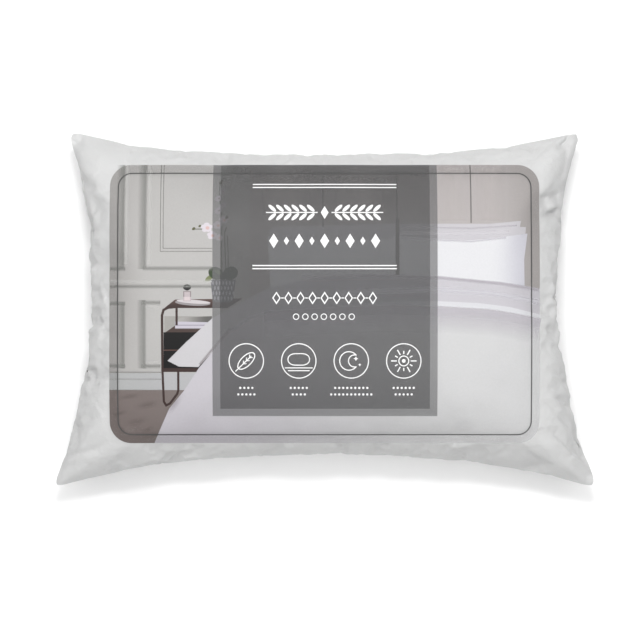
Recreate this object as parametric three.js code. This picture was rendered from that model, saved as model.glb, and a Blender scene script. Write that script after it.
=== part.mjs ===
// A filled bed pillow that lies on its back panel, with the loose printed film that it is sold under.
// Units are millimetres. +X runs along the length, +Y across the width towards the head edge and +Z up.
// The origin is the middle of the flat patch that the pillow rests on.

import * as THREE from "three";

// The seam's outline, seen from above. A filled casing is longest between its corners, and its four
// edges are pulled in between them.
const FOOT_HALF_LENGTH = 354;
const HEAD_HALF_LENGTH = 333;
const HALF_WIDTH = 232;
const SIDE_PULL_IN = 40;
const FOOT_PULL_IN = 45;
const HEAD_PULL_IN = 28;
const SIDE_CURVE = 2.2;
const FOOT_CURVE = 2.2;
const HEAD_CURVE = 2.8;

// The filled height, and how full the two faces are.
const LOFT = 190;
const SEAM_HEIGHT = 80;
const CORNER_DROOP = 16;
const DROOP_CURVE = 4;
const LENGTH_FULLNESS = 3;
const WIDTH_FULLNESS = 2.4;
const RIM_ROUNDNESS = 0.52;
const BACK_FLATTENING = 1.35;

// The casing's fabric, its turned-in seam allowance and the play between touching pieces.
const FABRIC = 1.2;
const PLAY = 0.3;
const ALLOWANCE = 10;
const FOLD_ROOT = 2.6;
const OVERLOCK_WIDTH = 2;
const OVERLOCK_HEIGHT = 3;

// The stretch of the left side seam that is closed after filling, as fractions of the half width.
const CLOSING_START = 0.12;
const CLOSING_END = 0.84;
const CLOSING_INSET = 3.5;
const CLOSING_THREAD = 0.9;
const CLOSING_LIFT = 0.5;
const CLOSING_STEPS = 20;

// The hollow-fibre batts, from the lowest up, as fractions of the height inside the casing.
const BATT_NAMES = ["lower_fibre_batt", "middle_fibre_batt", "upper_fibre_batt"];
const BATT_LEVELS = [0, 0.3, 0.7, 1];
const BATT_INSET = 15;
const BATT_CLEARANCE = 2.2;
const BATT_GAP = 1;

// The printed film, whose outline is a rectangle with round corners, seen from above.
const FILM_LENGTH = 561;
const FILM_WIDTH = 364;
const FILM_SHIFT = 7;
const FILM_CORNER = 28;
const FILM_THICKNESS = 0.5;
const FILM_LIFT = 2.6;
const FILM_RINGS = 9;
const FILM_CORNER_STEPS = 4;
const FILM_LONG_STEPS = 14;
const FILM_SHORT_STEPS = 10;

// The care label, a folded ribbon that hangs from the right side seam.
const LABEL_WIDTH = 36;
const LABEL_DROP = 44;
const LABEL_PLY = 0.5;
const LABEL_FOLD_GAP = 0.7;
const LABEL_CLEARANCE = 2.2;

// Mesh density of the casing and of the filling.
const CASING_COLUMNS = 26;
const CASING_ROWS = 18;
const BATT_COLUMNS = 16;
const BATT_ROWS = 12;
const RIM_CROWDING = 0.55;

const casingFabric = new THREE.MeshStandardMaterial({ color: 0xe9e9e8, roughness: 0.92, metalness: 0 });
const seamThread = new THREE.MeshStandardMaterial({ color: 0xf2f2f0, roughness: 0.7, metalness: 0 });
const fibre = new THREE.MeshStandardMaterial({ color: 0xf7f7f5, roughness: 1, metalness: 0 });
const labelSatin = new THREE.MeshStandardMaterial({ color: 0xf4f4f2, roughness: 0.5, metalness: 0 });
const film = new THREE.MeshStandardMaterial({
  color: 0x8f8d8c,
  roughness: 0.28,
  metalness: 0,
  transparent: true,
  opacity: 0.85,
});

// A mesh under construction: a list of points and a list of triangles that share them.
class Shell {
  constructor() {
    this.points = [];
    this.triangles = [];
  }

  point(x, y, z) {
    this.points.push(x, y, z);
    return this.points.length / 3 - 1;
  }

  triangle(a, b, c) {
    this.triangles.push(a, b, c);
  }

  quad(a, b, c, d) {
    this.triangle(a, b, c);
    this.triangle(a, c, d);
  }

  // A quad whose corners run counter-clockwise seen from above, cut from a to c whichever way it faces.
  flatQuad(a, b, c, d, lookUp) {
    if (lookUp) {
      this.quad(a, b, c, d);
    } else {
      this.quad(a, d, c, b);
    }
  }

  // Joins two closed loops that run the same way, the second one below or inside the first.
  band(outer, inner) {
    for (let k = 0; k < outer.length; k += 1) {
      const next = (k + 1) % outer.length;
      this.quad(outer[k], inner[k], inner[next], outer[next]);
    }
  }

  turnInsideOut() {
    for (let k = 0; k < this.triangles.length; k += 3) {
      const held = this.triangles[k + 1];
      this.triangles[k + 1] = this.triangles[k + 2];
      this.triangles[k + 2] = held;
    }
  }

  geometry() {
    const made = new THREE.BufferGeometry();
    made.setAttribute("position", new THREE.Float32BufferAttribute(this.points, 3));
    made.setIndex(this.triangles);
    made.computeVertexNormals();
    return made;
  }
}

// How far an edge is pulled in at a fraction of its half length from the middle.
function pulledIn(depth, fraction, curve) {
  return depth * (1 - Math.abs(fraction) ** curve);
}

function halfLengthAt(v) {
  const straight = THREE.MathUtils.lerp(FOOT_HALF_LENGTH, HEAD_HALF_LENGTH, (v + 1) / 2);
  return straight - pulledIn(SIDE_PULL_IN, v, SIDE_CURVE);
}

function halfWidthAt(u, v) {
  if (v > 0) {
    return HALF_WIDTH - pulledIn(HEAD_PULL_IN, u, HEAD_CURVE);
  }
  return HALF_WIDTH - pulledIn(FOOT_PULL_IN, u, FOOT_CURVE);
}

// The place in plan of u and v, which both run from -1 to 1 between opposite seams.
function plan(u, v) {
  return [u * halfLengthAt(v), v * halfWidthAt(u, v)];
}

// The u and v of a place in plan, by a few rounds of correction.
function planInverse(x, y) {
  let u = x / FOOT_HALF_LENGTH;
  let v = y / HALF_WIDTH;
  for (let round = 0; round < 12; round += 1) {
    u = THREE.MathUtils.clamp(x / halfLengthAt(v), -1, 1);
    v = THREE.MathUtils.clamp(y / halfWidthAt(u, y), -1, 1);
  }
  return [u, v];
}

// How full the pillow is at u, v: 1 in the middle and 0 at the seam.
function crown(u, v) {
  const along = Math.max(1 - Math.abs(u) ** LENGTH_FULLNESS, 0) ** RIM_ROUNDNESS;
  const across = Math.max(1 - Math.abs(v) ** WIDTH_FULLNESS, 0) ** RIM_ROUNDNESS;
  return along * across;
}

function seamZ(u, v) {
  return SEAM_HEIGHT - CORNER_DROOP * Math.abs(u * v) ** DROOP_CURVE;
}

function frontZ(u, v) {
  return seamZ(u, v) + (LOFT - SEAM_HEIGHT) * crown(u, v);
}

function backZ(u, v) {
  return seamZ(u, v) * (1 - Math.min(BACK_FLATTENING * crown(u, v), 1));
}

// u and v moved in from the seams by a distance in millimetres.
function insetBy(u, v, distance) {
  return [u * (1 - distance / FOOT_HALF_LENGTH), v * (1 - distance / HALF_WIDTH)];
}

// A fraction from -1 to 1, with the steps crowded towards both ends, where the surface is steep.
function spaced(index, count) {
  const even = (2 * index) / count - 1;
  return THREE.MathUtils.lerp(even, Math.sin((even * Math.PI) / 2), RIM_CROWDING);
}

// A grid of points over the pillow's plan, whose faces look up.
function addGrid(shell, columns, rows, place) {
  const index = [];
  for (let j = 0; j <= rows; j += 1) {
    index.push([]);
    for (let i = 0; i <= columns; i += 1) {
      index[j].push(shell.point(...place(spaced(i, columns), spaced(j, rows))));
    }
  }
  return index;
}

// Fills the grid with triangles. Each cell is cut along the diagonal that runs away from the middle, so
// that the corners of the pillow stay crisp.
function fillGrid(shell, index, lookUp) {
  const middleRow = (index.length - 1) / 2;
  const middleColumn = (index[0].length - 1) / 2;
  for (let j = 0; j + 1 < index.length; j += 1) {
    for (let i = 0; i + 1 < index[j].length; i += 1) {
      const corners = [index[j][i], index[j][i + 1], index[j + 1][i + 1], index[j + 1][i]];
      if (i < middleColumn !== j < middleRow) {
        corners.push(corners.shift());
      }
      shell.flatQuad(...corners, lookUp);
    }
  }
}

// The grid's edge points, counter-clockwise seen from above.
function rimOf(index) {
  const rows = index.length - 1;
  const columns = index[0].length - 1;
  const loop = [];
  for (let i = 0; i < columns; i += 1) {
    loop.push(index[0][i]);
  }
  for (let j = 0; j < rows; j += 1) {
    loop.push(index[j][columns]);
  }
  for (let i = columns; i > 0; i -= 1) {
    loop.push(index[rows][i]);
  }
  for (let j = rows; j > 0; j -= 1) {
    loop.push(index[j][0]);
  }
  return loop;
}

// The same walk round the casing's seam, as pairs of u and v.
function seamWalk(columns, rows) {
  const index = [];
  for (let j = 0; j <= rows; j += 1) {
    index.push([]);
    for (let i = 0; i <= columns; i += 1) {
      index[j].push([spaced(i, columns), spaced(j, rows)]);
    }
  }
  return rimOf(index);
}

// One panel of the casing, with its seam allowance turned in. side is 1 for the front and -1 for the back.
function casingPanel(side) {
  const shell = new Shell();
  const surfaceZ = side > 0 ? frontZ : backZ;
  const rimZ = (u, v) => seamZ(u, v) + (side * PLAY) / 2;
  const isRim = (u, v) => Math.max(Math.abs(u), Math.abs(v)) > 1 - 1e-9;

  const outside = addGrid(shell, CASING_COLUMNS, CASING_ROWS, (u, v) => {
    const z = isRim(u, v) ? rimZ(u, v) : surfaceZ(u, v);
    return [...plan(u, v), z];
  });
  const walk = seamWalk(CASING_COLUMNS, CASING_ROWS);
  const allowanceRing = (lift) =>
    walk.map((place) => {
      const [u, v] = insetBy(...place, ALLOWANCE);
      return shell.point(...plan(u, v), rimZ(u, v) + side * lift);
    });
  const allowanceFace = allowanceRing(0);
  const allowanceBack = allowanceRing(FABRIC);
  const inside = addGrid(shell, CASING_COLUMNS, CASING_ROWS, (u, v) => {
    if (isRim(u, v)) {
      const [uIn, vIn] = insetBy(u, v, FOLD_ROOT);
      return [...plan(uIn, vIn), rimZ(uIn, vIn) + side * FABRIC];
    }
    return [...plan(...insetBy(u, v, FABRIC)), surfaceZ(u, v) - side * FABRIC];
  });

  fillGrid(shell, outside, true);
  shell.band(rimOf(outside), allowanceFace);
  shell.band(allowanceFace, allowanceBack);
  shell.band(allowanceBack, rimOf(inside));
  fillGrid(shell, inside, false);
  if (side < 0) {
    shell.turnInsideOut();
  }
  return shell.geometry();
}

// One batt of carded hollow fibre, between two levels of the space inside the casing.
function fibreBatt(lowLevel, highLevel) {
  const shell = new Shell();
  const levelZ = (u, v, level) => {
    const floor = backZ(u, v) + FABRIC + BATT_CLEARANCE;
    const ceiling = frontZ(u, v) - FABRIC - BATT_CLEARANCE;
    return THREE.MathUtils.lerp(floor, ceiling, level);
  };
  const place = (level, lift) => (u, v) => {
    const [uIn, vIn] = insetBy(u, v, BATT_INSET);
    return [...plan(uIn, vIn), levelZ(uIn, vIn, level) + lift];
  };
  const top = addGrid(shell, BATT_COLUMNS, BATT_ROWS, place(highLevel, -BATT_GAP / 2));
  const bottom = addGrid(shell, BATT_COLUMNS, BATT_ROWS, place(lowLevel, BATT_GAP / 2));
  fillGrid(shell, top, true);
  shell.band(rimOf(top), rimOf(bottom));
  fillGrid(shell, bottom, false);
  return shell.geometry();
}

// A strand of rectangular section, from a list of sections of four points each.
function strand(sections) {
  const shell = new Shell();
  const rings = sections.map((section) => section.map((corner) => shell.point(...corner)));
  for (let k = 0; k + 1 < rings.length; k += 1) {
    for (let c = 0; c < 4; c += 1) {
      const next = (c + 1) % 4;
      shell.quad(rings[k][c], rings[k + 1][c], rings[k + 1][next], rings[k][next]);
    }
  }
  const last = rings[rings.length - 1];
  shell.quad(rings[0][0], rings[0][1], rings[0][2], rings[0][3]);
  shell.quad(last[3], last[2], last[1], last[0]);
  return shell.geometry();
}

// The overlock stitch that binds the raw edges of both allowances, open where the casing was filled.
function overlockThread() {
  const walk = seamWalk(CASING_COLUMNS, CASING_ROWS);
  const isClosing = ([u, v]) => u < -1 + 1e-9 && v > CLOSING_START && v < CLOSING_END;
  const first = walk.findLastIndex(isClosing) + 1;
  const sewn = [...walk.slice(first), ...walk.slice(0, first)].filter((place) => !isClosing(place));
  const near = ALLOWANCE + PLAY;
  const sections = sewn.map((place) => {
    const outer = insetBy(...place, near);
    const inner = insetBy(...place, near + OVERLOCK_WIDTH);
    const corner = (at, lift) => [...plan(...at), seamZ(...at) + lift];
    const half = OVERLOCK_HEIGHT / 2;
    return [corner(outer, -half), corner(outer, half), corner(inner, half), corner(inner, -half)];
  });
  return strand(sections);
}

// The topstitch that closes the casing after filling. It lies on the front panel beside the left seam.
function closingThread() {
  const firstColumn = spaced(1, CASING_COLUMNS);
  const sections = [];
  for (let k = 0; k <= CLOSING_STEPS; k += 1) {
    const v = THREE.MathUtils.lerp(CLOSING_START, CLOSING_END, k / CLOSING_STEPS);
    const [seamX, seamY] = plan(-1, v);
    const [nextX, nextY] = plan(firstColumn, v);
    const run = nextX - seamX;
    const rise = frontZ(firstColumn, v) - seamZ(-1, v);
    const slope = Math.hypot(run, rise);
    const along = [run / slope, rise / slope];
    const out = [-along[1], along[0]];
    const y = THREE.MathUtils.lerp(seamY, nextY, CLOSING_INSET / slope);
    const corner = (distance, lift) => [
      seamX + along[0] * distance + out[0] * lift,
      y,
      seamZ(-1, v) + along[1] * distance + out[1] * lift,
    ];
    sections.push([
      corner(CLOSING_INSET, CLOSING_LIFT),
      corner(CLOSING_INSET, CLOSING_LIFT + CLOSING_THREAD),
      corner(CLOSING_INSET + CLOSING_THREAD, CLOSING_LIFT + CLOSING_THREAD),
      corner(CLOSING_INSET + CLOSING_THREAD, CLOSING_LIFT),
    ]);
  }
  return strand(sections.reverse());
}

// The film's outline, counter-clockwise, with even steps on its straights and arcs at its corners.
function filmOutline() {
  const halfX = FILM_LENGTH / 2 - FILM_CORNER;
  const halfY = FILM_WIDTH / 2 - FILM_CORNER;
  const corners = [[halfX, -halfY], [halfX, halfY], [-halfX, halfY], [-halfX, -halfY]];
  const outline = [];
  corners.forEach(([cx, cy], side) => {
    const start = (side - 1) * (Math.PI / 2);
    const arc = [];
    for (let k = 0; k <= FILM_CORNER_STEPS; k += 1) {
      const angle = start + (k / FILM_CORNER_STEPS) * (Math.PI / 2);
      arc.push([cx + FILM_CORNER * Math.cos(angle), cy + FILM_CORNER * Math.sin(angle)]);
    }
    outline.push(...arc);
    const [nx, ny] = corners[(side + 1) % 4];
    const nextStart = side * (Math.PI / 2);
    const from = arc[arc.length - 1];
    const to = [nx + FILM_CORNER * Math.cos(nextStart), ny + FILM_CORNER * Math.sin(nextStart)];
    const steps = side % 2 === 0 ? FILM_SHORT_STEPS : FILM_LONG_STEPS;
    for (let k = 1; k < steps; k += 1) {
      const share = k / steps;
      outline.push([0, 1].map((axis) => THREE.MathUtils.lerp(from[axis], to[axis], share)));
    }
  });
  return outline;
}

// The printed film, laid over the crown of the front panel.
function printedFilm() {
  const shell = new Shell();
  const outline = filmOutline();
  const filmPoint = (x, y, lift) => {
    const yOnPillow = y + FILM_SHIFT;
    return shell.point(x, yOnPillow, frontZ(...planInverse(x, yOnPillow)) + FILM_LIFT + lift);
  };
  const face = (lift) => {
    const middle = filmPoint(0, 0, lift);
    const rings = [];
    for (let ring = 1; ring <= FILM_RINGS; ring += 1) {
      const share = spaced(FILM_RINGS + ring, 2 * FILM_RINGS);
      rings.push(outline.map(([x, y]) => filmPoint(x * share, y * share, lift)));
    }
    return { middle, rings };
  };
  const fill = ({ middle, rings }, lookUp) => {
    const count = outline.length;
    for (let k = 0; k < count; k += 1) {
      const next = (k + 1) % count;
      const hub = [middle, rings[0][k], rings[0][next]];
      shell.triangle(...(lookUp ? hub : hub.reverse()));
      for (let ring = 0; ring + 1 < rings.length; ring += 1) {
        const cell = [rings[ring][k], rings[ring + 1][k], rings[ring + 1][next], rings[ring][next]];
        shell.flatQuad(...cell, lookUp);
      }
    }
  };
  const top = face(FILM_THICKNESS);
  const bottom = face(0);
  fill(top, true);
  shell.band(top.rings[FILM_RINGS - 1], bottom.rings[FILM_RINGS - 1]);
  fill(bottom, false);
  return shell.geometry();
}

// The care label, a ribbon folded double whose two ends are sewn into the seam at its top.
function careLabel() {
  const half = LABEL_FOLD_GAP / 2;
  const outer = half + LABEL_PLY;
  const profile = new THREE.Shape();
  profile.moveTo(-outer, 0);
  profile.lineTo(-outer, -LABEL_DROP + outer);
  profile.absarc(0, -LABEL_DROP + outer, outer, Math.PI, 2 * Math.PI, false);
  profile.lineTo(outer, 0);
  profile.lineTo(half, 0);
  profile.lineTo(half, -LABEL_DROP + outer);
  profile.absarc(0, -LABEL_DROP + outer, half, 2 * Math.PI, Math.PI, true);
  profile.lineTo(-half, 0);
  profile.closePath();
  const settings = { depth: LABEL_WIDTH, bevelEnabled: false, curveSegments: 6 };
  const ribbon = new THREE.ExtrudeGeometry(profile, settings);
  ribbon.translate(0, 0, -LABEL_WIDTH / 2);
  ribbon.rotateX(Math.PI / 2);
  return ribbon;
}

const pillow = new THREE.Group();

function add(name, geometry, material) {
  const mesh = new THREE.Mesh(geometry, material);
  mesh.name = name;
  pillow.add(mesh);
  return mesh;
}

add("front_panel", casingPanel(1), casingFabric);
add("back_panel", casingPanel(-1), casingFabric);
BATT_NAMES.forEach((name, k) => {
  add(name, fibreBatt(BATT_LEVELS[k], BATT_LEVELS[k + 1]), fibre);
});
add("overlock_seam_thread", overlockThread(), seamThread);
add("closing_seam_thread", closingThread(), seamThread);
add("printed_film", printedFilm(), film);

const label = add("care_label", careLabel(), labelSatin);
label.position.set(halfLengthAt(0) + LABEL_CLEARANCE, 0, SEAM_HEIGHT);

export default pillow;
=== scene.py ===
"""A filled bed pillow under its loose printed film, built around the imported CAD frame."""

import math

import bmesh
import bpy
import numpy as np
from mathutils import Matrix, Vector
from mathutils.bvhtree import BVHTree
from mathutils.geometry import delaunay_2d_cdt


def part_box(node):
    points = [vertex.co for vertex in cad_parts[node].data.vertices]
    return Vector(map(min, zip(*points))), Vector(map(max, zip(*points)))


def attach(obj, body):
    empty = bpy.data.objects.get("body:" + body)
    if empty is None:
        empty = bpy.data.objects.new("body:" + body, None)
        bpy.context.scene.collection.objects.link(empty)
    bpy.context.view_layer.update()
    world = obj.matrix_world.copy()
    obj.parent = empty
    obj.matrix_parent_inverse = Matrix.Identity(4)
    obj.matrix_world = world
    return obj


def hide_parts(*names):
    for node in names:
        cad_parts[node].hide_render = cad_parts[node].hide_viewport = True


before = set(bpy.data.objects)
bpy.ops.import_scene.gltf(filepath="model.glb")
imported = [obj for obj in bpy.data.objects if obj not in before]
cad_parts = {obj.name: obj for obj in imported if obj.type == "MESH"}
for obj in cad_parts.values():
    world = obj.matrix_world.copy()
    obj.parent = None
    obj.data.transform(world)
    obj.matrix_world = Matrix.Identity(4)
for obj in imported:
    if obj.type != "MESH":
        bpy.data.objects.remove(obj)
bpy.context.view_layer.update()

MM = 0.001

# The cloth that each panel is cut from, without its seam allowances, and the sewn bag's mesh.
CLOTH = np.array([0.740, 0.480])
COLUMNS = 116
ROWS = 76
TIP_CUT = 4.5 * MM

# The inflation of the flat bag by its filling.
FILLING_PRESSURE = 9.0
FILLING_VOLUME = 0.024
LAST_FRAME = 27
CLOTH_SETTINGS = {
    "quality": 8,
    "mass": 0.3,
    "air_damping": 10,
    "tension_stiffness": 80,
    "compression_stiffness": 80,
    "shear_stiffness": 5,
    "bending_stiffness": 0.03,
    "tension_damping": 15,
    "compression_damping": 15,
    "shear_damping": 15,
    "use_pressure": True,
    "uniform_pressure_force": FILLING_PRESSURE,
    "use_pressure_volume": True,
    "target_volume": FILLING_VOLUME,
}

# The seam's outline and the filled height, which are the CAD part's own.
FRONT_HIGH = np.array(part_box("front_panel")[1])
FOOT_HALF_LENGTH = FRONT_HIGH[0]
HEAD_HALF_LENGTH = FOOT_HALF_LENGTH - 21 * MM
HALF_WIDTH = FRONT_HIGH[1]
LOFT = FRONT_HIGH[2]
SEAM_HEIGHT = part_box("overlock_seam_thread")[1][2] - 1.5 * MM
SIDE_PULL_IN = 40 * MM
FOOT_PULL_IN = 41 * MM
HEAD_PULL_IN = 28 * MM
SIDE_CURVE = 1.5
FOOT_CURVE = 2.2
HEAD_CURVE = 2.8
CORNER_DROOP = 16 * MM
BACK_FLATTENING = 1.2
FLOOR_EASING = 9 * MM
SEAM_WAVE_KEPT = 0.6

# The cloth's small relief.
LONG_RIPPLE_KEPT = 0.45
SIDE_RIPPLE_KEPT = 0.8
RIPPLE_REACH = 40 * MM
SIDE_PUCKER = 1.1 * MM
SIDE_PUCKER_REACH = 28 * MM
LONG_PUCKER = 1.0 * MM
LONG_PUCKER_REACH = 14 * MM
PUCKER_LENGTHS = (18 * MM, 27 * MM, 44 * MM)
RIM_PUCKER_SHARE = 0.5
BACK_PUCKER_SHARE = 0.6
LUMP_DEPTH = 0.5 * MM
SHOULDER_RISE = 17 * MM
SHOULDER_REACH = 50 * MM

# The lengths of the lumps' waves in millimetres, how far in from the seams the lumps and the creases
# reach their full depth, and how high above the floor the back's relief does.
LUMP_LENGTHS = (22, 28, 36, 46, 60, 80)
LUMPS_FULL = 30 * MM
CREASES_FULL = 14 * MM
FLOOR_CALM = 30 * MM

# The seams.
ALLOWANCE = 9 * MM
ALLOWANCE_GAP = 0.5 * MM
ALLOWANCE_ROOM = 3.2 * MM
OVERLOCK_PITCH = 4
OVERLOCK_RADIUS = 0.28 * MM
STITCH = 2.6 * MM
STITCH_PITCH = 3.4 * MM
STITCH_INSET = 3.5 * MM
STITCH_RADIUS = 0.32 * MM
CLOSING = (0.12, 0.84)

# The care label's ribbon.
LABEL_LOW, LABEL_HIGH = (np.array(corner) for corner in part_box("care_label"))
RIBBON = 0.3 * MM

# The printed film.
FILM_LOW, FILM_HIGH = (np.array(corner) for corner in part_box("printed_film"))
FILM_CENTRE = (FILM_LOW + FILM_HIGH)[:2] / 2
FILM_HALF = (FILM_HIGH - FILM_LOW)[:2] / 2
FILM_CORNER = 28 * MM
FILM_GAP = 1.2 * MM
FILM_CELL = 5 * MM

# The film's height field: its cell, the cells beyond the film, the rounds of smoothing while the film
# settles on the cloth and after it, and the least gap.
GROUND_CELL = 4 * MM
GROUND_MARGIN = 3
SETTLING_ROUNDS = 260
SOFTENING_ROUNDS = 8
LEAST_GAP = 0.4 * MM

# The print's layers and inks.
INK_STEP = 0.45 * MM
SHAPE_STEP = 0.01 * MM
SHADE_STEP = 0.02 * MM
INK_DENSITY = 0.745


# ---------------------------------------------------------------- shared helpers


def mesh_object(name, points, faces):
    mesh = bpy.data.meshes.new(name)
    mesh.from_pydata([tuple(map(float, p)) for p in points], [], [tuple(map(int, f)) for f in faces])
    mesh.validate()
    mesh.update()
    mesh.shade_smooth()
    piece = bpy.data.objects.new(name, mesh)
    bpy.context.scene.collection.objects.link(piece)
    return piece


def apply_modifiers(piece):
    graph = bpy.context.evaluated_depsgraph_get()
    finished = bpy.data.meshes.new_from_object(piece.evaluated_get(graph))
    piece.modifiers.clear()
    old = piece.data
    piece.data = finished
    bpy.data.meshes.remove(old)


def dress(piece, body, slot, *materials):
    """Gives a piece its materials and the body that it rides on; the slot is not used."""
    for material in materials:
        piece.data.materials.append(material)
    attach(piece, body)
    return piece


# ---------------------------------------------------------------- the casing


def from_seams(u, v):
    """How far the cloth at u and v lies from the side seams, and from the head and foot seams."""
    return (1 - np.abs(u)) * CLOTH[0] / 2, (1 - np.abs(v)) * CLOTH[1] / 2


def pulled_in(depth, fraction, curve):
    return depth * (1 - np.abs(fraction) ** curve)


def plan(u, v):
    """The seam outline's plan: where u and v, from -1 to 1 between opposite seams, lie in x and y."""
    length = FOOT_HALF_LENGTH + (HEAD_HALF_LENGTH - FOOT_HALF_LENGTH) * (v + 1) / 2
    length = length - pulled_in(SIDE_PULL_IN, v, SIDE_CURVE)
    foot = pulled_in(FOOT_PULL_IN, u, FOOT_CURVE)
    head = pulled_in(HEAD_PULL_IN, u, HEAD_CURVE)
    width = HALF_WIDTH - np.where(v > 0, head, foot)
    return np.stack([u * length, v * width], axis=-1)


def flat_bag():
    """Two flat panels that share their rim: points, the front and back index grids, and u and v."""
    u, v = np.meshgrid(np.linspace(-1, 1, COLUMNS + 1), np.linspace(-1, 1, ROWS + 1))
    rim = (np.abs(u) == 1) | (np.abs(v) == 1)
    front = np.arange(u.size).reshape(u.shape)
    back = front.copy()
    back[~rim] = u.size + np.arange((~rim).sum())
    rng = np.random.default_rng(4)
    flat = np.stack([u * CLOTH[0] / 2, v * CLOTH[1] / 2], axis=-1)
    for j, i in ((0, 0), (0, -1), (-1, 0), (-1, -1)):
        inward = -np.sign(flat[j, i])
        flat[j, i] += inward * TIP_CUT
        beside_j, beside_i = (1 if j == 0 else -2), (1 if i == 0 else -2)
        flat[j, beside_i, 1] += inward[1] * TIP_CUT / 4
        flat[beside_j, i, 0] += inward[0] * TIP_CUT / 4
    crumple = rng.uniform(-0.4, 0.4, (2, *u.shape)) * MM
    upper = np.where(rim, crumple[0] / 3, 2 * MM + crumple[0])
    lower = -2 * MM + crumple[1]
    points = np.concatenate([np.dstack([flat, upper]).reshape(-1, 3), np.dstack([flat, lower])[~rim]])
    return points, front, back, u, v


def quads(index, look_up=True):
    a, b, c, d = index[:-1, :-1], index[:-1, 1:], index[1:, 1:], index[1:, :-1]
    order = [a, b, c, d] if look_up else [a, d, c, b]
    return np.stack(order, axis=-1).reshape(-1, 4)


def inflate(points, front, back):
    """Blows the flat bag up with Blender's cloth, as its filling does, and returns the points."""
    bag = mesh_object("bag", points, np.concatenate([quads(front), quads(back, False)]))
    cloth = bag.modifiers.new("Cloth", "CLOTH")
    for setting, value in CLOTH_SETTINGS.items():
        setattr(cloth.settings, setting, value)
    cloth.settings.effector_weights.gravity = 0
    cloth.collision_settings.use_collision = False
    cloth.point_cache.frame_start = 1
    cloth.point_cache.frame_end = LAST_FRAME
    for moment in range(1, LAST_FRAME + 1):
        bpy.context.scene.frame_set(moment)
    graph = bpy.context.evaluated_depsgraph_get()
    filled = np.empty(points.size)
    bag.evaluated_get(graph).data.vertices.foreach_get("co", filled)
    bpy.data.objects.remove(bag)
    bpy.context.scene.frame_set(1)
    return filled.reshape(-1, 3)


def smooth_edge(edge, along):
    """An edge without its puckers: its chord plus a smooth curve that is 0 at both ends."""
    chord = edge[0] + (edge[-1] - edge[0]) * (along[:, None] + 1) / 2
    bump = 1 - along**2
    basis = np.stack([bump, bump * along, bump * along**2, bump * along**3], axis=1)
    weights = np.linalg.lstsq(basis, edge - chord, rcond=None)[0]
    return chord + basis @ weights


def between_edges(foot, head, left, right, u, v):
    """Fills a field in from its four edges, which agree at the corners (a Coons patch)."""
    s = ((u + 1) / 2)[..., None]
    t = ((v + 1) / 2)[..., None]
    across = (1 - s) * left[:, None] + s * right[:, None]
    along = (1 - t) * foot[None] + t * head[None]
    corners = (1 - s) * (1 - t) * foot[0] + s * (1 - t) * foot[-1]
    corners = corners + (1 - s) * t * head[0] + s * t * head[-1]
    return across + along - corners


def fit_to_outline(filled, front, back, u, v):
    """Moves the filled bag smoothly to the seam outline and the loft, and keeps its puckers."""
    across, along = u[0], v[:, 0]
    grid = filled[front]
    edges = [grid[0], grid[-1], grid[:, 0], grid[:, -1]]
    walks = [across, across, along, along]
    smoothed = [smooth_edge(edge[:, :2], walk) for edge, walk in zip(edges, walks, strict=True)]
    targets = [
        plan(across, -np.ones_like(across)),
        plan(across, np.ones_like(across)),
        plan(-np.ones_like(along), along),
        plan(np.ones_like(along), along),
    ]
    shift = between_edges(*[t - s for t, s in zip(targets, smoothed, strict=True)], u, v)
    seam = between_edges(*[edge[:, 2:] for edge in edges], u, v)[..., 0]
    seam_level = SEAM_HEIGHT - CORNER_DROOP * np.abs(u * v) ** 4

    from_side, from_long = from_seams(u, v)
    ripples = [edge[:, :2] - smooth for edge, smooth in zip(edges, smoothed, strict=True)]
    for ripple, (away, half) in zip(
        ripples, ((from_long, v < 0), (from_long, v > 0), (from_side, u < 0), (from_side, u > 0)), strict=True
    ):
        spread = ripple[None] if ripple.shape[0] == u.shape[1] else ripple[:, None]
        fade = (np.exp(-away / RIPPLE_REACH) * half)[..., None]
        kept = LONG_RIPPLE_KEPT if away is from_long else SIDE_RIPPLE_KEPT
        shift = shift - (1 - kept) * spread * fade

    fitted = filled.copy()
    for index, depth in ((front, LOFT - SEAM_HEIGHT), (back, -SEAM_HEIGHT * BACK_FLATTENING)):
        rise = filled[index][..., 2] - seam
        scale = depth / (rise.max() if depth > 0 else rise.min())
        fitted[index, :2] = filled[index][..., :2] + shift
        fitted[index, 2] = seam_level + seam * SEAM_WAVE_KEPT + rise * abs(scale)
    height = fitted[:, 2]
    low = height < FLOOR_EASING
    fitted[low, 2] = FLOOR_EASING * np.exp((height[low] - FLOOR_EASING) / FLOOR_EASING)
    return fitted


def halve_cells(grid):
    """Puts a point midway between every two of a grid's, on a smooth curve through its neighbours."""
    for axis in (0, 1):
        line = np.moveaxis(grid, axis, 0)
        before = np.concatenate([2 * line[:1] - line[1:2], line[:-2]])
        after = np.concatenate([line[2:], 2 * line[-1:] - line[-2:-1]])
        middle = (9 * (line[:-1] + line[1:]) - before - after) / 16
        finer = np.empty((2 * len(line) - 1, *line.shape[1:]))
        finer[::2] = line
        finer[1::2] = middle
        grid = np.moveaxis(finer, 0, axis)
    return grid


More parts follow.
